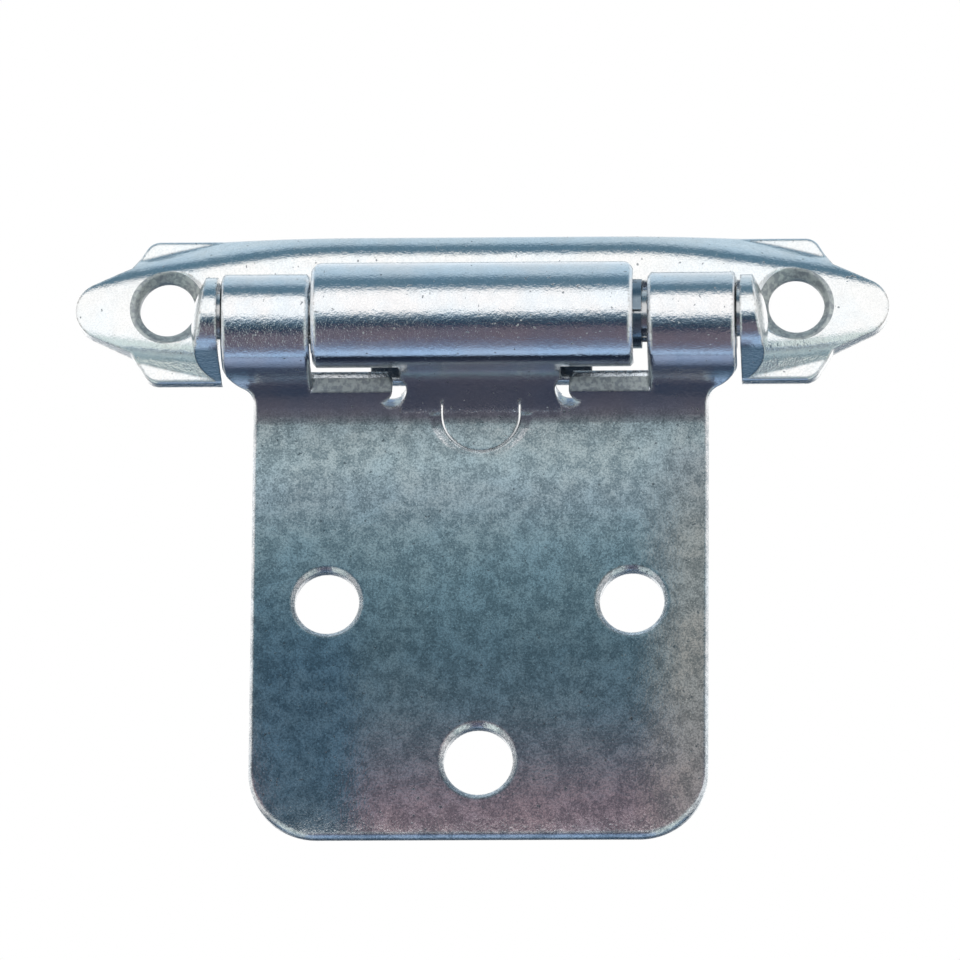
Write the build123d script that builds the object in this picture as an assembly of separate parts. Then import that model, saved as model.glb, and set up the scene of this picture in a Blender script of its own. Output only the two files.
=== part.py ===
"""Self-closing cabinet hinge: frame wing, door wing, hinge pin and closing spring.

X runs along the pin, -Y points away from the cabinet frame towards the viewer, +Z is up.
The origin is midway between the two frame screws, on the plane that lies against the frame.
Heights above that plane are called rises; the rise of a point is minus its Y.
"""

import os
from math import acos, asin, cos, degrees, radians, sin, tan

from build123d import *

# Pin, and where its axis lies from the frame screws
pin_diameter = 4.0
pin_rise = 6.2
pin_drop = 1.9
running_clearance = 0.05
socket_clearance = 0.02
pin_end_clearance = 0.15
pin_end_chamfer = 0.3

# Frame wing
wing_length = 69.85
wing_height = 12.7
wing_sheet = 1.4
wing_edge_radius = 0.3
tip_radius = 2.5
tip_slope = 24.5
lobe_inset = 6.4
lobe_root_inset = 4.8
lobe_corner_radius = 1.4
body_rise = 3.3
body_tip_rise = 1.9
body_fall_length = 11.3
body_fall_radius = 40.0
body_wall_slope = 45.0
body_foot_overhang = 2.15
body_close_length = 24.0
body_tip_half_width = 4.3
body_crown_radius = 3.2
trough_clearance = 0.3
seat_top = 0.4
tongue_width = 19.0
window_corner_radius = 0.8

# Frame screw holes
screw_end_distance = 7.925
screw_hole_diameter = 4.8
countersink_diameter = 6.4
countersink_angle = 90.0

# Ears
ear_end_distance = 12.625
ear_sheet = 1.2
ear_nose_radius = 3.3
ear_root_top = 3.5
ear_root_rise = 0.7
ear_root_strip = 0.1
dome_rise = 1.15
dome_reach = 4.3
dome_back = 0.7
dome_drop = 1.1
socket_depth = 1.5

# Door wing
door_sheet = 1.5
shoulder_step = 2.5
leaf_drop = 44.9
leaf_back_rise = 0.6
leaf_corner_radius = 5.8
leaf_edge_chamfer = 0.25
knuckle_side_gap = 0.3
knuckle_width = 7.6
knuckle_lead_radius = 4.8
knuckle_web_slope = 15.0
knuckle_end_angle = 240.0
roll_end_chamfer = 0.3
bend_radius = 3.0
shoulder_cut_length = 4.2
shoulder_start_radius = 3.0
shelf_rise = 3.0
neck_width = 13.8
hood_left_gap = 0.2
hood_right_gap = 1.2
hood_lip_angle = -100.0
hood_end_angle = 83.0
hood_corner_radius = 2.6
relief_radius = 1.3
relief_offset = 0.75
relief_angle = 135.0
relief_slot = 1.05
relief_lobe_radius = 1.15
relief_lobe_offset = 1.05
relief_lobe_height = 0.2

# Door screw holes, from the sides and the lower edge of the leaf
door_hole_diameter = 5.5
door_hole_side_distance = 6.5
door_hole_end_distance = 20.7
lower_hole_diameter = 5.9
lower_hole_end_distance = 6.7
hole_rim_chamfer = 0.4

# Lanced tab at the root of the leaf
tab_width = 6.5
tab_drop = 10.8
tab_root_drop = 6.4
tab_slit = 0.14
dish_floor = 0.25
dish_depth = 0.22
dish_width = 1.7
dish_tilt = 3.0

# Closing spring
spring_radius = 2.97
spring_wall = 0.5
spring_fit = 0.03
spring_overhang = 0.7
spring_inset = 0.15
spring_seam = 0.35
spring_seam_angle = -13.0
flat_depth = 0.4
flat_clearance = 0.03
flat_end_margin = 0.6

# Sizes that follow
pin_radius = pin_diameter / 2
knuckle_radius = pin_radius + running_clearance + door_sheet
hood_radius = spring_radius + spring_fit + door_sheet
leaf_front_rise = leaf_back_rise + door_sheet
screw_spacing = wing_length - 2 * screw_end_distance
ear_spacing = wing_length - 2 * ear_end_distance
knuckle_outer = ear_spacing / 2 - knuckle_side_gap
knuckle_inner = knuckle_outer - knuckle_width
hood_left = knuckle_inner - hood_left_gap
hood_right = knuckle_inner - hood_right_gap
leaf_width = 2 * (knuckle_outer - shoulder_step)
door_hole_spacing = leaf_width - 2 * door_hole_side_distance
door_hole_drop = leaf_drop - door_hole_end_distance
lower_hole_drop = leaf_drop - lower_hole_end_distance
ear_outer = ear_spacing / 2 + ear_sheet
trough_radius = hood_radius + trough_clearance
pin_half_length = ear_spacing / 2 + socket_depth - pin_end_clearance
flat_offset = pin_radius - flat_depth
shoulder_cut_start = knuckle_radius + running_clearance
knuckle_strip = (knuckle_radius, knuckle_lead_radius, knuckle_web_slope, knuckle_end_angle)
neck_strip = (hood_radius, hood_radius, 0.0, hood_end_angle)
beyond = 100.0
same_place = 0.01

front_plane = Plane(origin=(0, 0, 0), x_dir=(1, 0, 0), z_dir=(0, -1, 0))
plan_plane = Plane(origin=(0, 0, 0), x_dir=(1, 0, 0), z_dir=(0, 0, -1))


def pin_plane(x):
    """Plane across the pin at x: its own x is the rise from the axis, its own y is +Z."""
    return Plane(origin=(x, -pin_rise, -pin_drop), x_dir=(0, -1, 0), z_dir=(-1, 0, 0))


def along_pin(face, low, high):
    """Prism of a face, drawn about the pin axis, from x = low to x = high."""
    return extrude(pin_plane(high) * face, amount=high - low)


def block(x_low, x_high, rise_low, rise_high, z_low, z_high):
    """Box between two x, two rises and two heights."""
    size = (x_high - x_low, rise_high - rise_low, z_high - z_low)
    middle = ((x_low + x_high) / 2, -(rise_low + rise_high) / 2, (z_low + z_high) / 2)
    return Pos(*middle) * Box(*size)


def polar(radius, angle, centre=(0.0, 0.0)):
    """Point at an angle in degrees on a circle."""
    return (centre[0] + radius * cos(radians(angle)), centre[1] + radius * sin(radians(angle)))


def arc(radius, start, end, centre=(0.0, 0.0)):
    """Arc about a centre between two angles in degrees."""
    points = [polar(radius, angle, centre) for angle in (start, (start + end) / 2, end)]
    return ThreePointArc(*points)


def face_of(edges):
    """Face inside a closed run of edges."""
    return make_face(Wire(edges))


def mirrored(shape):
    """The shape with its mirror image across x = 0."""
    return shape + mirror(shape, about=Plane.YZ)


def blank_outline():
    """Outline of the wing's blank: a straight strip with lobed corners and pointed tips."""
    slope = radians(tip_slope)
    nose_x = wing_length / 2 - tip_radius
    top = wing_height / 2
    side_start = polar(tip_radius, 90 - tip_slope, (nose_x, 0.0))
    root_x = wing_length / 2 - lobe_root_inset
    root = (root_x, side_start[1] + (side_start[0] - root_x) * tan(slope))
    corner = (wing_length / 2 - lobe_inset, top)
    half = [Line(side_start, root), Line(root, corner), Line(corner, (0.0, top))]
    half += [edge.mirror(Plane.XZ) for edge in half]
    half += [arc(tip_radius, tip_slope - 90, 90 - tip_slope, (nose_x, 0.0))]
    outline = face_of(half + [edge.mirror(Plane.YZ) for edge in half])
    rows = outline.vertices().group_by(Axis.Y)
    return fillet(rows[0] + rows[-1], lobe_corner_radius)


def body_form(inset):
    """Raised body: straight walls that close in on wide arcs towards the tips, under a falling lid."""
    slope = radians(body_wall_slope)
    shift = inset / sin(slope)
    full_foot = wing_height / 2 + body_foot_overhang
    fall = full_foot - body_tip_half_width
    radius = (body_close_length**2 + fall**2) / (2 * fall) - shift
    foot = full_foot - shift
    close_x = wing_length / 2 - body_close_length
    turn = degrees(acos((radius - foot) / radius))
    half = [Line((0, foot), (close_x, foot)), arc(radius, 90, 90 - turn, (close_x, foot - radius))]
    half += [edge.mirror(Plane.XZ) for edge in half]
    plan = face_of(half + [edge.mirror(Plane.YZ) for edge in half])
    height = body_rise - inset
    walls = extrude(front_plane * plan, amount=height, taper=90 - body_wall_slope)
    end = wing_length / 2
    fall_start = end - body_fall_length
    profile = make_face(
        Polyline(
            (-end, 0), (end, 0), (end, body_tip_rise - inset), (fall_start, height),
            (-fall_start, height), (-end, body_tip_rise - inset), close=True,
        )
    )
    profile = fillet(profile.vertices().group_by(Axis.Y)[-1], body_fall_radius)
    lid = extrude(plan_plane * profile, amount=wing_height, both=True)
    body = walls & lid
    crown = [
        edge for edge in body.edges()
        if abs((edge % 0.5).X) > cos(slope) and -(edge @ 0.5).Y > (body_tip_rise - inset) / 2
    ]
    return fillet(crown, body_crown_radius - inset)


def ear(side):
    """Ear bent forward round the pin end, with its outer face domed over the pin."""
    nose = Circle(ear_nose_radius)
    root_low = pin_drop - wing_height / 2
    root = Pos(ear_root_rise - pin_rise, (root_low + ear_root_top) / 2) * Rectangle(
        ear_root_strip, ear_root_top - root_low, align=(Align.MIN, Align.CENTER)
    )
    profile = make_hull(nose.edges() + root.edges())
    dome_radius = (dome_reach**2 + dome_rise**2) / (2 * dome_rise)
    centre_x = ear_outer + dome_rise - dome_radius
    ball = pin_plane(centre_x) * Pos(-dome_back, -dome_drop) * Sphere(dome_radius)
    whole = along_pin(profile, ear_spacing / 2, ear_outer + dome_rise) & ball
    return whole if side > 0 else mirror(whole, about=Plane.YZ)


def wing_rise(x):
    """Rise of the front of the raised body at x."""
    fall = (body_rise - body_tip_rise) / body_fall_length
    return body_rise - fall * max(0.0, abs(x) - wing_length / 2 + body_fall_length)


def screw_hole(x):
    """Countersunk frame screw hole at x, with a plain land behind the countersink."""
    half_angle = radians(countersink_angle / 2)
    hole = screw_hole_diameter / 2
    rim_rise = wing_rise(x)
    land_rise = rim_rise - (countersink_diameter - screw_hole_diameter) / 2 / tan(half_angle)
    top_rise = rim_rise + wing_sheet
    top_radius = hole + (top_rise - land_rise) * tan(half_angle)
    profile = Polyline(
        (0, -wing_sheet), (hole, -wing_sheet), (hole, land_rise),
        (top_radius, top_rise), (0, top_rise), close=True,
    )
    plane = Plane(origin=(x, 0, 0), x_dir=(1, 0, 0), z_dir=(0, 0, -1))
    return revolve(plane * make_face(profile), axis=Axis((x, 0, 0), (0, 1, 0)))


def window(side):
    """Opening that the ear was cut and bent from."""
    low = tongue_width / 2
    high = ear_spacing / 2
    top = ear_root_top - pin_drop
    shape = Pos((low + high) / 2, top) * Rectangle(
        high - low, wing_height, align=(Align.CENTER, Align.MAX)
    )
    upper = shape.vertices().group_by(Axis.Y)[-1]
    shape = fillet(upper, window_corner_radius)
    tool = extrude(front_plane * shape, amount=pin_rise - knuckle_radius)
    return tool if side > 0 else mirror(tool, about=Plane.YZ)


def frame_wing():
    """Stamped wing: boat-shaped body, flat lobes, trough for the barrel, two ears."""
    blank = blank_outline()
    body = body_form(0) & extrude(front_plane * blank, amount=body_rise)
    wing = body + extrude(front_plane * blank, amount=wing_sheet)
    inside = ear_spacing / 2
    wing -= along_pin(Circle(trough_radius), -inside, inside)
    wing -= block(-inside, inside, wing_sheet, beyond, -wing_height, -pin_drop)
    wing += ear(1) + ear(-1)
    hollow = body_form(wing_sheet)
    hollow -= along_pin(Circle(trough_radius + wing_sheet), -inside, inside)
    hollow -= block(-inside, inside, -wing_sheet, beyond, -wing_height, seat_top)
    wing -= hollow
    wing -= window(1) + window(-1)
    wing -= screw_hole(screw_spacing / 2) + screw_hole(-screw_spacing / 2)
    socket = Circle(pin_radius + socket_clearance)
    reach = inside + socket_depth
    wing -= along_pin(socket, -reach, reach)
    raised = wing.edges().filter_by_position(Axis.Y, -body_rise, -wing_sheet + same_place)
    sides = [edge for edge in raised if abs(abs((edge @ 0.5).Z) - wing_height / 2) < same_place]
    return fillet(sides, wing_edge_radius)


def web_run(barrel_radius, lead_radius, web_slope):
    """Length of the straight web that brings the strip down to the leaf."""
    tilt = radians(web_slope)
    reach = pin_rise - leaf_front_rise
    start = barrel_radius - lead_radius + lead_radius * sin(tilt)
    return (start + reach + bend_radius * sin(tilt) - bend_radius) / cos(tilt)


def rolled_strip(barrel_radius, lead_radius, web_slope, end_angle):
    """Edges of a bent strip: up from the leaf, along the web, round the barrel.

    The front edge and the back edge lie one sheet apart, with shared arc centres.
    """
    run = web_run(barrel_radius, lead_radius, web_slope)
    tilt = radians(web_slope)
    lead_centre = (barrel_radius - lead_radius, 0.0)
    web_angle = web_slope - 90
    web_start = polar(lead_radius, web_angle, lead_centre)
    web_end = (web_start[0] - run * cos(tilt), web_start[1] - run * sin(tilt))
    bend_centre = (web_end[0] + bend_radius * sin(tilt), web_end[1] - bend_radius * cos(tilt))

    def side(offset):
        """The strip's line at an offset behind its front."""
        bend = bend_radius + offset
        lead = lead_radius - offset
        bend_top = polar(bend, 90 + web_slope, bend_centre)
        lead_low = polar(lead, web_angle, lead_centre)
        edges = [arc(bend, 180, 90 + web_slope, bend_centre), Line(bend_top, lead_low)]
        if lead_centre[0]:
            edges.append(arc(lead, web_angle, 0, lead_centre))
            edges.append(arc(barrel_radius - offset, 0, end_angle))
        else:
            edges.append(arc(lead, web_angle, end_angle))
        return edges

    return side(0), side(door_sheet), bend_centre


def strip_face(barrel_radius, lead_radius, web_slope, end_angle):
    """Section of a strip with its leaf end, about the pin axis."""
    front, back, centre = rolled_strip(barrel_radius, lead_radius, web_slope, end_angle)
    foot = Line(front[0] @ 0, back[0] @ 0)
    end = Line(front[-1] @ 1, back[-1] @ 1)
    return face_of(front + [end] + back + [foot]), centre


def leaf_plate(top):
    """Flat leaf below a height measured from the pin, with rounded lower corners."""
    low = -leaf_drop
    outline = Pos(0, (top + low) / 2 - pin_drop) * Rectangle(leaf_width, top - low)
    lower = outline.vertices().group_by(Axis.Y)[0]
    outline = fillet(lower, leaf_corner_radius)
    return Pos(0, -leaf_back_rise, 0) * extrude(front_plane * outline, amount=door_sheet)


def shoulder_cut():
    """Tool that narrows the strips to the leaf in an S-curve, seen square to the bend."""
    both_radii = (shoulder_step**2 + shoulder_cut_length**2) / (2 * shoulder_step)
    end_radius = both_radii - shoulder_start_radius
    turn = degrees(asin(shoulder_cut_length / both_radii))
    start = (knuckle_outer, -shoulder_cut_start)
    end = (leaf_width / 2, -shoulder_cut_start - shoulder_cut_length)
    edges = [
        arc(shoulder_start_radius, 0, -turn, (start[0] - shoulder_start_radius, start[1])),
        arc(end_radius, 180, 180 - turn, (end[0] + end_radius, end[1])),
        Line(end, (end[0], -beyond)),
        Line((end[0], -beyond), (ear_outer, -beyond)),
        Line((ear_outer, -beyond), (ear_outer, start[1])),
        Line((ear_outer, start[1]), start),
    ]
    plane = Plane(origin=(0, -pin_rise, -pin_drop), x_dir=(1, 0, 0), z_dir=(0, -1, -1))
    return mirrored(extrude(plane * face_of(edges), amount=beyond, both=True))


def tab_outline(margin):
    """Half-round outline of the lanced tab, drawn outward by a margin."""
    half = tab_width / 2 + margin
    centre_z = -pin_drop - tab_drop + tab_width / 2
    top_z = -pin_drop - tab_root_drop
    edges = [
        Line((-half, top_z), (-half, centre_z)),
        ThreePointArc((-half, centre_z), (0, centre_z - half), (half, centre_z)),
        Line((half, centre_z), (half, top_z)),
        Line((half, top_z), (-half, top_z)),
    ]
    return face_of(edges)


def dish(rise):
    """Shallow dish round the end of the tab, deepest below it, sunk from a rise."""
    inner = tab_width / 2 + tab_slit + dish_floor
    outer = inner + dish_width
    outer_height = outer * sin(radians(dish_tilt))
    height = outer_height + dish_depth
    curve = (height**2 + dish_width**2) / (4 * height)
    turn = degrees(asin(dish_width / (2 * curve)))
    edges = [
        Line((0, -dish_depth), (inner, -dish_depth)),
        arc(curve, -90, turn - 90, (inner, curve - dish_depth)),
        arc(curve, 90 + turn, 90, (outer, outer_height - curve)),
        Line((outer, outer_height), (outer, height)),
        Line((outer, height), (0, height)),
        Line((0, height), (0, -dish_depth)),
    ]
    bowl = revolve(Plane.XZ * face_of(edges), axis=Axis.Z)
    centre_z = -pin_drop - tab_drop + tab_width / 2
    tilted = Pos(0, -rise, centre_z) * Rot(90 - dish_tilt, 0, 0) * bowl
    below = block(-beyond, beyond, -beyond, beyond, -beyond, centre_z)
    tab = extrude(front_plane * tab_outline(tab_slit), amount=pin_rise, both=True)
    return (tilted & below) - tab


def relief(side):
    """Hooked relief cut between shelf and neck, round the rounded end of the shelf."""
    slot = Pos(relief_offset, 0) * Rectangle(relief_slot, beyond, align=(Align.MAX, Align.MIN))
    lobe = Pos(-relief_lobe_offset, relief_lobe_height) * Circle(relief_lobe_radius)
    outline = Circle(relief_radius) + slot - lobe
    centre = polar(bend_radius, relief_angle, strip_face(*knuckle_strip)[1])
    plane = Plane(
        origin=(-neck_width / 2 - relief_offset, -pin_rise - centre[0], -pin_drop + centre[1]),
        x_dir=(1, 0, 0),
        z_dir=(0, -1, -1),
    )
    cut = extrude(plane * outline, amount=2 * door_sheet, both=True)
    cut &= block(-beyond, beyond, -beyond, shelf_rise + door_sheet, -beyond, beyond)
    return cut if side < 0 else mirror(cut, about=Plane.YZ)


def hood():
    """Hood rolled over the spring, with the corners of its free end rounded."""
    inner_radius = hood_radius - door_sheet
    edges = [
        arc(hood_radius, hood_lip_angle, hood_end_angle),
        Line(polar(hood_radius, hood_end_angle), polar(inner_radius, hood_end_angle)),
        arc(inner_radius, hood_lip_angle, hood_end_angle),
        Line(polar(inner_radius, hood_lip_angle), polar(hood_radius, hood_lip_angle)),
    ]
    roll = along_pin(face_of(edges), -hood_left, hood_right)
    end = pin_plane(0) * Pos(*polar(hood_radius - door_sheet / 2, hood_end_angle))
    corners = [
        edge for edge in roll.edges().filter_by(GeomType.LINE)
        if abs((edge @ 0.5).Y - end.position.Y) + abs((edge @ 0.5).Z - end.position.Z) < same_place
    ]
    return fillet(corners, hood_corner_radius)


def door_hole(x, drop, diameter):
    """Plain screw hole through the leaf."""
    plane = Plane(origin=(x, 0, -pin_drop - drop), x_dir=(1, 0, 0), z_dir=(0, -1, 0))
    return extrude(plane * Circle(diameter / 2), amount=2 * leaf_front_rise)


def roll_ends(solid, radius, *places):
    """Edges across the pin on the outside of a roll, at the given x places."""
    circles = solid.edges().filter_by(GeomType.CIRCLE)
    found = [edge for edge in circles if abs(edge.radius - radius) < same_place]
    return [edge for edge in found if min(abs((edge @ 0.5).X - x) for x in places) < same_place]


def front_rims(solid, diameter):
    """Rims of the leaf's screw holes of one diameter, on its front face."""
    circles = solid.edges().filter_by(GeomType.CIRCLE)
    near, far = -leaf_front_rise + same_place, -leaf_front_rise - same_place
    at_front = circles.filter_by_position(Axis.Y, far, near)
    return [edge for edge in at_front if abs(edge.radius - diameter / 2) < same_place]


def door_wing():
    """Leaf, neck and rolled barrel of the door side, from one sheet."""
    knuckle, side_centre = strip_face(*knuckle_strip)
    neck, neck_centre = strip_face(*neck_strip)
    half_neck = neck_width / 2
    wing = mirrored(along_pin(knuckle, half_neck, knuckle_outer))
    wing -= block(-knuckle_inner, knuckle_inner, shelf_rise, beyond, -beyond, beyond)
    wing += leaf_plate(side_centre[1])
    wing -= shoulder_cut()
    root = (side_centre[1] - pin_drop, neck_centre[1] - pin_drop)
    wing += block(-half_neck, half_neck, leaf_back_rise, leaf_front_rise, *root)
    wing += along_pin(neck, -half_neck, half_neck)
    wing += hood()
    wing -= relief(1) + relief(-1)
    wing += dish(leaf_back_rise)
    wing -= dish(leaf_front_rise)
    slit = tab_outline(tab_slit) - tab_outline(0)
    wing -= extrude(front_plane * slit, amount=shelf_rise + door_sheet)
    half_spacing = door_hole_spacing / 2
    wing -= door_hole(half_spacing, door_hole_drop, door_hole_diameter)
    wing -= door_hole(-half_spacing, door_hole_drop, door_hole_diameter)
    wing -= door_hole(0, lower_hole_drop, lower_hole_diameter)
    wing = chamfer(roll_ends(wing, knuckle_radius, knuckle_inner, -knuckle_inner), roll_end_chamfer)
    wing = chamfer(roll_ends(wing, knuckle_radius, knuckle_outer, -knuckle_outer), roll_end_chamfer)
    wing = chamfer(roll_ends(wing, hood_radius, -hood_left, hood_right), roll_end_chamfer)
    upright = wing.edges().filter_by(Axis.Z)
    sides = [edge for edge in upright if abs(abs((edge @ 0.5).X) - leaf_width / 2) < same_place]
    wing = chamfer(sides, leaf_edge_chamfer)
    rims = front_rims(wing, door_hole_diameter) + front_rims(wing, lower_hole_diameter)
    return chamfer(rims, hole_rim_chamfer)


def behind(offset):
    """Half of the plane across the pin that lies further back than an offset."""
    return Pos(-offset, 0) * Rectangle(beyond, beyond, align=(Align.MAX, Align.CENTER))


def closing_spring():
    """Rolled strip spring in the hood, flattened where it grips the pin's flat."""
    inner_flat = flat_offset + flat_clearance
    outer = Circle(spring_radius) - behind(inner_flat + spring_wall)
    inner = Circle(spring_radius - spring_wall) - behind(inner_flat)
    seam = Rot(0, 0, spring_seam_angle) * Rectangle(
        2 * spring_radius, spring_seam, align=(Align.MIN, Align.CENTER)
    )
    return along_pin(outer - inner - seam, spring_inset - hood_left, hood_right + spring_overhang)


def hinge_pin():
    """Round pin with chamfered ends and one flat under the spring."""
    pin = along_pin(Circle(pin_radius), -pin_half_length, pin_half_length)
    pin = chamfer(pin.edges().filter_by(GeomType.CIRCLE), pin_end_chamfer)
    low = spring_inset - hood_left - flat_end_margin
    high = hood_right + spring_overhang + flat_end_margin
    return pin - along_pin(behind(flat_offset), low, high)


if __name__ == "__main__":
    os.makedirs("parts", exist_ok=True)
    export_step(frame_wing(), "parts/frame_wing.step")
    export_step(door_wing(), "parts/door_wing.step")
    export_step(hinge_pin(), "parts/hinge_pin.step")
    export_step(closing_spring(), "parts/closing_spring.step")
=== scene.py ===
from math import cos, radians, sin

import bpy
from mathutils import Matrix, Vector

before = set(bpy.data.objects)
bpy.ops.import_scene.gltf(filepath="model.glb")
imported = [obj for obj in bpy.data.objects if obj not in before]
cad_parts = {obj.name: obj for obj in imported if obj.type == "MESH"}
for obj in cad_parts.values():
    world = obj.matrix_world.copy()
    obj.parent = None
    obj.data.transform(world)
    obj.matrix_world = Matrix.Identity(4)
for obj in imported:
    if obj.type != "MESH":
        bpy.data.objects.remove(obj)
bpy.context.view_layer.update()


# Camera: a long lens 0.9 m away, a little below the hinge and a touch to its right, turned by
# half a degree, as the photograph was taken.
camera_azimuth, camera_elevation, camera_roll = radians(2.8), radians(-16.3), radians(0.48)
camera_distance = 0.9
camera_target = Vector((-0.00012, 0.0, -0.01478))
away = Vector((
    sin(camera_azimuth) * cos(camera_elevation),
    -cos(camera_azimuth) * cos(camera_elevation),
    sin(camera_elevation),
))
level_right = (-away).cross(Vector((0, 0, 1))).normalized()
level_up = level_right.cross(-away)
right = level_right * cos(camera_roll) + level_up * sin(camera_roll)
up = level_up * cos(camera_roll) - level_right * sin(camera_roll)
camera = bpy.data.objects.new("camera", bpy.data.cameras.new("camera"))
camera.data.lens = 394.4
camera.data.clip_start, camera.data.clip_end = 0.05, 20.0
camera.matrix_world = Matrix.Translation(camera_target + camera_distance * away) @ (
    Matrix((right, up, away)).transposed().to_4x4()
)
bpy.context.collection.objects.link(camera)
bpy.context.scene.camera = camera


# Frame wing: cold-rolled sheet steel, stamped into a hollow boat shape and lanced for its ears,
# then plated in bright zinc in a tumbling barrel, which leaves a fine frosted grain with small
# dark pits and rubs the plate thin along the edges.
class Shade:
    """A shader socket that takes part in Python sums, and a maker of the nodes it needs."""

    def __init__(self, tree, socket=None):
        self.tree, self.socket = tree, socket

    def take(self, kind, output=0, settings=None, **inputs):
        """One output of a new node, made with its settings first and then its values or links.

        An input is named as in Blender, with _ for a space, or i and its number."""
        node = self.tree.nodes.new(kind)
        for name, value in (settings or {}).items():
            setattr(node, name, value)
        for name, value in inputs.items():
            key = int(name[1:]) if name[1:].isdigit() else name.replace("_", " ")
            if isinstance(value, Shade):
                self.tree.links.new(value.socket, node.inputs[key])
            else:
                node.inputs[key].default_value = value
        return Shade(self.tree, node.outputs[output])

    def feed(self, shader, name):
        """Links this value to a socket of a shader."""
        self.tree.links.new(self.socket, shader.inputs[name])

    def maths(self, operation, other=0.0, flip=False):
        """This value and another through one Math node."""
        first, second = (other, self) if flip else (self, other)
        return self.take("ShaderNodeMath", 0, {"operation": operation}, i0=first, i1=second)

    def __add__(self, other): return self.maths("ADD", other)
    def __radd__(self, other): return self.maths("ADD", other)
    def __mul__(self, other): return self.maths("MULTIPLY", other)
    def __rmul__(self, other): return self.maths("MULTIPLY", other)
    def __sub__(self, other): return self.maths("SUBTRACT", other)
    def __rsub__(self, other): return self.maths("SUBTRACT", other, flip=True)
    def __gt__(self, other): return self.maths("GREATER_THAN", other)
    def __lt__(self, other): return self.maths("LESS_THAN", other)

    def between(self, low, high):
        """Smooth step from 0 at low to 1 at high."""
        return self.take(
            "ShaderNodeMapRange", 0, {"interpolation_type": "SMOOTHSTEP"},
            Value=self, From_Min=low, From_Max=high,
        )

    def moved(self, distance):
        """This place moved that far along each axis, so that no two pieces match."""
        offset = (distance, distance, distance)
        return self.take("ShaderNodeVectorMath", 0, {"operation": "ADD"}, i0=self, i1=offset)

    def noise(self, size, detail=2.0, rough=0.5, stretch=(1, 1, 1)):
        """Noise at this place, with blotches of about that size in millimetres."""
        scale = tuple(1000.0 / size / part for part in stretch)
        place = self.take("ShaderNodeVectorMath", 0, {"operation": "MULTIPLY"}, i0=self, i1=scale)
        return place.take(
            "ShaderNodeTexNoise", 0, Vector=place, Scale=1.0, Detail=detail, Roughness=rough
        )

    def mix(self, first, second):
        """A colour between two tints or colour sockets, by this factor."""
        first, second = (
            colour + (1.0,) if isinstance(colour, tuple) else colour for colour in (first, second)
        )
        return self.take("ShaderNodeMix", 2, {"data_type": "RGBA"}, i0=self, i6=first, i7=second)


def new_metal(name):
    """A fully metallic material, the place of a point in the part, and the shader."""
    material = bpy.data.materials.new(name)
    material.use_nodes = True
    shader = material.node_tree.nodes["Principled BSDF"]
    shader.inputs["Metallic"].default_value = 1.0
    place = Shade(material.node_tree).take("ShaderNodeTexCoord", "Object")
    return material, place, shader


def edge_turn(place, radius):
    """The normal rounded over the sheet's edges, and a mask that is 1 where it turns."""
    least_turn, full_turn = 0.006, 0.09
    round_normal = place.take("ShaderNodeBevel", 0, {"samples": 6}, Radius=radius)
    face_normal = place.take("ShaderNodeNewGeometry", "True Normal")
    agree = place.take(
        "ShaderNodeVectorMath", "Value", {"operation": "DOT_PRODUCT"},
        i0=round_normal, i1=face_normal,
    )
    return round_normal, (1.0 - agree).between(least_turn, full_turn)


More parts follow.
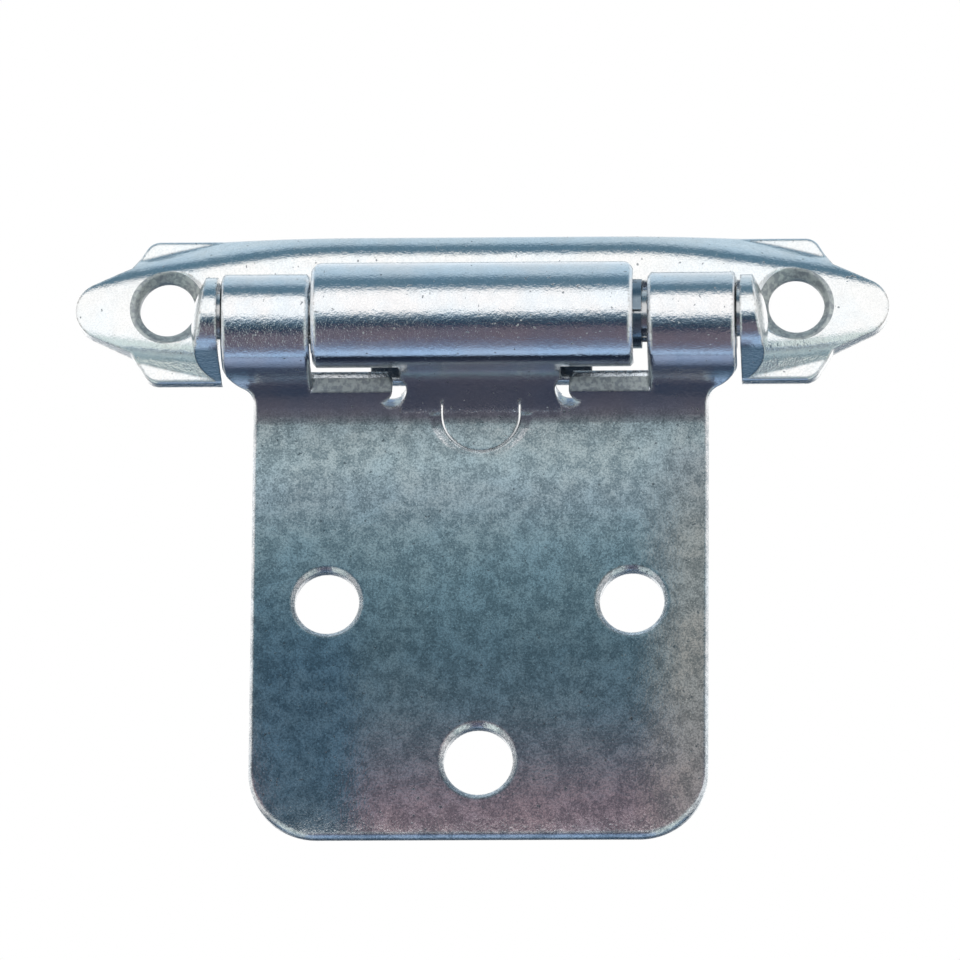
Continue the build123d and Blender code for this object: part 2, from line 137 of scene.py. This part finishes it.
def zinc_plate(name, cool, warm, seed):
    """Bright zinc plate: smooth where the sheet is bent, and coarser and duller on the leaf."""
    material, place, shader = new_metal(name)
    across, depth, height = (
        place.take("ShaderNodeSeparateXYZ", axis, Vector=place) for axis in range(3)
    )
    across = across.maths("ABSOLUTE")

    # The leaf is flat from below the shoulder's bend downwards.
    leaf_top, bend_foot = -0.0105, -0.0085
    flat = 1.0 - height.between(leaf_top, bend_foot)

    # Cut metal is torn and dull, and its colour is painted darker as shade too: the shelves under
    # the hood, and the frame wing's countersinks.
    shelf_inner, shelf_outer, shelf_back = 0.0070, 0.0144, -0.0023
    shelf_bottom, shelf_top = -0.0078, -0.0065
    shelf = (across > shelf_inner) * (across < shelf_outer) * (depth < shelf_back)
    shelf = shelf * (height < shelf_top) * (height > shelf_bottom)
    screw_across, countersink_radius, countersink_front = 0.0270, 0.00323, -0.0030
    from_screw = across - screw_across
    in_circle = from_screw * from_screw + height * height < countersink_radius ** 2
    cut_and_shade = shelf + (depth > countersink_front) * in_circle

    place = place.moved(seed)
    cloud = place.noise(5.0, 3.0, 0.6)
    mottle = place.noise(1.3, 5.0, 0.68)
    grain = place.noise(0.42, 2.0, 0.6)
    frost = place.noise(0.15, 2.0, 0.65)
    pit = place.noise(0.40, 1.0).between(0.725, 0.775)
    glint_fleck = place.noise(0.17, 1.0).between(0.62, 0.72)
    hairline = place.noise(0.13, 1.0, 0.5, (2.0, 1.0, 22.0)).between(0.64, 0.72)
    edge_radius = 0.00035
    round_normal, edge = edge_turn(place, edge_radius)
    worn = edge * grain.between(0.46, 0.62)

    dull_zinc, glint_white, pit_dark = (0.34, 0.38, 0.41), (0.95, 0.98, 1.0), (0.10, 0.12, 0.14)
    bare_steel, shaded_torn_dark, shaded_torn_light = (0.24, 0.20, 0.17), (0.22, 0.25, 0.27), (0.42, 0.46, 0.45)
    colour = cloud.between(0.36, 0.64).mix(cool, warm)
    dull = mottle.between(0.60, 0.38) * (0.08 + flat * 0.50)
    dull = dull + frost.between(0.58, 0.40) * (0.12 + flat * 0.50)
    colour = dull.mix(colour, dull_zinc)
    # Painted glints: bright flecks stand in for the sparkle of the frosted plate, most of all on
    # the leaf.
    colour = (glint_fleck * (0.3 + flat * 0.6)).mix(colour, glint_white)
    colour = (pit * 0.65 + hairline * flat * 0.16).mix(colour, pit_dark)
    colour = (worn * 0.6).mix(colour, bare_steel)
    # Painted shade: the cut faces under the hood and in the countersinks are darkened as well as
    # torn.
    colour = (cut_and_shade * 0.85).mix(colour, grain.between(0.4, 0.6).mix(shaded_torn_dark, shaded_torn_light))

    rough = 0.07 + cloud * 0.05 + frost * 0.08 + flat * mottle * 0.10
    rough = rough + pit * 0.2 + worn * 0.15 + cut_and_shade * 0.3

    relief_depth = 0.000026
    relief = grain * 0.9 + frost * 0.6 + flat * mottle * 0.3 - pit * 0.4 - hairline * 0.03
    bump = relief.take(
        "ShaderNodeBump", 0, Strength=1.0, Distance=relief_depth,
        Height=relief, Normal=round_normal,
    )
    colour.feed(shader, "Base Color")
    rough.feed(shader, "Roughness")
    bump.feed(shader, "Normal")
    return material


def finish_node(name, material):
    """Gives a node of the model its finished material."""
    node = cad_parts[name]
    node.data.materials.clear()
    node.data.materials.append(material)


frame_cool, frame_warm = (0.80, 0.84, 0.86), (0.84, 0.84, 0.83)
finish_node("frame_wing", zinc_plate("frame_zinc", frame_cool, frame_warm, 0.31))


# Door wing: one sheet, blanked with its screw holes, rolled into two knuckles and a wider hood,
# and plated with the frame wing in the same barrel, so it has the same bright zinc.
door_cool, door_warm = (0.77, 0.82, 0.86), (0.83, 0.82, 0.82)
finish_node("door_wing", zinc_plate("door_zinc", door_cool, door_warm, 0.77))


# Hinge pin: drawn steel wire, cut and chamfered, with one flat ground under the spring. Drawing
# leaves fine lines along it, and the knuckles rub it bright.
def drawn_steel(name, tone, oil, seed):
    """Bare drawn or rolled steel: lines along the pin, faint blotches and a little dried oil."""
    material, place, shader = new_metal(name)
    place = place.moved(seed)
    line = place.noise(0.10, 2.0, 0.6, (30.0, 1.0, 1.0))
    blotch = place.noise(1.8, 3.0, 0.6).between(0.40, 0.62)
    stain = place.noise(0.5, 2.0).between(0.60, 0.72)
    dried_oil = (0.09, 0.08, 0.08)
    colour = (blotch * 0.7 + line * 0.3).mix(tone, oil)
    colour = (stain * 0.5).mix(colour, dried_oil)
    rough = 0.18 + line * 0.12 + stain * 0.2
    line_depth = 0.00001
    bump = line.take("ShaderNodeBump", 0, Strength=0.6, Distance=line_depth, Height=line)
    colour.feed(shader, "Base Color")
    rough.feed(shader, "Roughness")
    bump.feed(shader, "Normal")
    return material


pin_tone, pin_oil = (0.60, 0.61, 0.62), (0.46, 0.46, 0.45)
finish_node("hinge_pin", drawn_steel("pin_steel", pin_tone, pin_oil, 0.13))


# Closing spring: a strip of blued spring steel, rolled round the pin and lightly oiled, whose
# flattened back bears on the pin's flat. Only its right end shows beside the hood.
spring_tone, spring_oil = (0.26, 0.33, 0.38), (0.17, 0.22, 0.27)
finish_node("closing_spring", drawn_steel("spring_steel", spring_tone, spring_oil, 0.52))


# Studio: a white surround, whose light on dull surfaces is a little lower than the white that
# the camera and the metal see, and a plain pale floor well under the hinge, because the camera
# looks up at it from below.
world = bpy.data.worlds.new("studio")
world.use_nodes = True
bpy.context.scene.world = world
backdrop = world.node_tree.nodes["Background"]
camera_ray, glossy_ray, through_ray = (
    Shade(world.node_tree).take("ShaderNodeLightPath", ray)
    for ray in ("Is Camera Ray", "Is Glossy Ray", "Is Transmission Ray")
)
seen = (camera_ray + glossy_ray + through_ray).maths("MINIMUM", 1.0)
strength = 0.8 + seen * 0.2
strength.feed(backdrop, "Strength")
backdrop.inputs["Color"].default_value = (1, 1, 1, 1)

reach, floor_level = 4, -1.2
floor_corners = [(x, y, floor_level) for x, y in (
    (-reach, -reach), (reach, -reach), (reach, reach), (-reach, reach)
)]
floor_mesh = bpy.data.meshes.new("floor")
floor_mesh.from_pydata(floor_corners, [], [(0, 1, 2, 3)])
floor = bpy.data.objects.new("floor", floor_mesh)
floor_paint = bpy.data.materials.new("floor_paint")
floor_paint.use_nodes = True
floor_shader = floor_paint.node_tree.nodes["Principled BSDF"]
floor_shader.inputs["Base Color"].default_value = (0.9, 0.9, 0.9, 1)
floor_mesh.materials.append(floor_paint)
bpy.context.collection.objects.link(floor)


# Tent: plain tinted sheets round the hinge, as a light tent for bright metal has, which the
# rolled barrel mirrors as bands along it. Its rows are at angles above the front, in degrees.
def tinted_sheet(name, rows, half_width, middle=0.0):
    """A glowing sheet along X through rows of (y, z, tint), with the tints blended between."""
    points = [(middle + side * half_width, y, z) for y, z, _ in rows for side in (-1, 1)]
    faces = [(low, low + 1, low + 3, low + 2) for low in range(0, len(points) - 2, 2)]
    mesh = bpy.data.meshes.new(name)
    mesh.from_pydata(points, [], faces)
    tint = mesh.color_attributes.new("tint", "FLOAT_COLOR", "POINT")
    for index, value in enumerate(tint.data):
        value.color = rows[index // 2][2] + (1.0,)
    material = bpy.data.materials.new(name)
    material.use_nodes = True
    shader = material.node_tree.nodes["Principled BSDF"]
    shader.inputs["Base Color"].default_value = (0, 0, 0, 1)
    shader.inputs["Specular IOR Level"].default_value = 0.0
    shader.inputs["Emission Strength"].default_value = 1.0
    tints = Shade(material.node_tree).take("ShaderNodeVertexColor", "Color", {"layer_name": "tint"})
    tints.feed(shader, "Emission Color")
    mesh.materials.append(material)
    sheet = bpy.data.objects.new(name, mesh)
    sheet.visible_camera = sheet.visible_diffuse = sheet.visible_shadow = False
    bpy.context.collection.objects.link(sheet)


def at_angles(radius, rows):
    """Rows of (y, z, tint) round the hinge, from rows of (angle, tint)."""
    return [
        (-radius * cos(radians(angle)), radius * sin(radians(angle)), tint) for angle, tint in rows
    ]


white, cool_white, soft_white = (1.22, 1.22, 1.22), (0.86, 0.96, 1.04), (0.80, 0.90, 0.88)
haze, mist, sky = (0.62, 0.76, 0.86), (0.52, 0.67, 0.79), (0.42, 0.58, 0.82)
fog, dim_sky, low_sky = (0.28, 0.40, 0.50), (0.26, 0.36, 0.50), (0.24, 0.34, 0.52)
dusk, mauve, steel = (0.17, 0.19, 0.28), (0.15, 0.13, 0.17), (0.12, 0.22, 0.30)
slate, deep = (0.06, 0.12, 0.18), (0.05, 0.10, 0.15)
night, ink = (0.03, 0.05, 0.09), (0.02, 0.035, 0.07)
tent_rows = [
    (180, white), (150, white), (128, cool_white), (104, haze), (84, mist),
    (70, steel), (46, steel), (36, white), (-10, white), (-15, fog), (-23, deep),
    (-38, ink), (-48, mauve), (-68, mauve), (-80, dusk), (-97, low_sky), (-116, sky),
    (-128, dim_sky), (-142, slate), (-158, night), (-166, slate), (-180, white),
]
tinted_sheet("tent", at_angles(0.6, tent_rows), 0.6)
side_rows = at_angles(0.55, [(angle, soft_white) for angle in range(-14, -134, -12)])
tinted_sheet("left_side", side_rows, 0.2, -0.34)
tinted_sheet("right_side", side_rows, 0.2, 0.34)


# Leaf panels: thin sheets that leave the barrel on lines through the pin, down and a little
# forward. The leaf mirrors the inner ones, and the barrel's underside the outer one. Step 1 is
# at the foot of the shoulder, and every later step is mirrored 6 mm further down the leaf.
pin_level, step_forward, step_down = -0.0019, 0.001, 0.00567
strip_start, leaf_start, barrel_start = -0.0060, -0.0062, -0.0064


def hanging_panel(name, start, rows, half_width, middle=0.0):
    """A tinted sheet that hangs from that depth under the pin, by rows of (step, tint)."""
    sheet_rows = [
        (start - step_forward * step, pin_level - step_down * step, tint) for step, tint in rows
    ]
    tinted_sheet(name, sheet_rows, half_width, middle)


hanging_panel("leaf_panel", leaf_start, [
    # Foot of the shoulder, and the bright band at the top of the leaf.
    (0.98, (0.10, 0.13, 0.17)), (1.08, (0.14, 0.18, 0.22)), (1.22, (0.40, 0.48, 0.50)),
    (1.80, (0.50, 0.62, 0.65)), (2.30, (0.38, 0.48, 0.53)),
    # The upper screw holes, and the dark middle below them.
    (2.90, (0.26, 0.38, 0.43)), (3.60, (0.18, 0.29, 0.34)), (4.50, (0.115, 0.195, 0.24)),
    (5.50, (0.125, 0.19, 0.235)),
    # The lower screw hole, and the warm foot.
    (6.30, (0.18, 0.19, 0.23)), (7.00, (0.32, 0.235, 0.27)), (7.60, (0.33, 0.235, 0.27)),
], 0.045)

# A warm strip stands before the leaf's right edge, with a narrow one that blends it inwards, and
# a dark strip before its lower left.
hanging_panel("warm_strip", strip_start, [
    (1.6, (0.37, 0.43, 0.46)), (3.0, (0.38, 0.41, 0.40)), (5.0, (0.38, 0.38, 0.36)),
    (7.60, (0.35, 0.29, 0.29)),
], 0.004, 0.0202)
hanging_panel("warm_edge", strip_start, [
    (1.6, (0.44, 0.53, 0.56)), (3.0, (0.31, 0.38, 0.41)), (5.0, (0.24, 0.28, 0.29)),
    (7.60, (0.34, 0.26, 0.28)),
], 0.0010, 0.0152)
hanging_panel("deep_strip", strip_start, [
    (3.0, (0.24, 0.36, 0.41)), (4.0, (0.11, 0.20, 0.26)), (5.0, (0.08, 0.15, 0.21)),
    (6.6, (0.09, 0.16, 0.22)), (7.60, (0.11, 0.16, 0.20)),
], 0.0045, -0.0155)
hanging_panel("barrel_panel", barrel_start, [
    (0.94, sky), (1.25, sky), (1.6, (0.28, 0.38, 0.56)), (2.6, (0.20, 0.23, 0.32)), (7.60, dusk),
], 0.045)


# Neck sheets: they lie along the rays that the leaf mirrors, so that it doesn't see them. A dark
# one with a small lip shades the neck and the shoulder under the hood, a glowing one before each
# knuckle softens the shade's end there, and a white one below them lights the dish by the tab.
tinted_sheet("neck_shade", [
    (-0.0031, -0.01010, (0.26, 0.31, 0.33)), (-0.0028, -0.00955, (0.13, 0.13, 0.16)),
    (-0.0026, -0.00915, (0.10, 0.10, 0.135)), (-0.0036, -0.00886, (0.045, 0.05, 0.08)),
    (-0.0050, -0.00845, (0.02, 0.03, 0.055)), (-0.0072, -0.00781, (0.01, 0.015, 0.03)),
], 0.02)
knuckle_glow = [
    (-0.0032, -0.00888, (0.03, 0.04, 0.07)), (-0.0044, -0.00853, (0.06, 0.08, 0.13)),
    (-0.0056, -0.00818, (0.20, 0.25, 0.36)), (-0.0072, -0.00771, (0.36, 0.46, 0.66)),
]
tinted_sheet("left_glow", knuckle_glow, 0.0042, -0.0190)
tinted_sheet("right_glow", knuckle_glow, 0.0042, 0.0190)
tinted_sheet("dish_light", [(-0.0032, -0.00920, white), (-0.0070, -0.00809, white)], 0.0055)


# Key lamp: one soft box above the front. The metal mirrors the sheets and not the lamp, which
# lights only what is dull, such as the floor.
key_angle, key_distance = radians(40), 0.5
key = bpy.data.objects.new("key", bpy.data.lights.new("key", "AREA"))
key.data.shape, key.data.size, key.data.size_y = "RECTANGLE", 0.9, 0.4
key.data.energy = 1.2
key_away = Vector((0, -cos(key_angle), sin(key_angle)))
key.location = key_distance * key_away
key.rotation_euler = key_away.to_track_quat("Z", "Y").to_euler()
key.visible_camera = key.visible_glossy = False
bpy.context.collection.objects.link(key)

bpy.context.scene.view_settings.view_transform = "Standard"
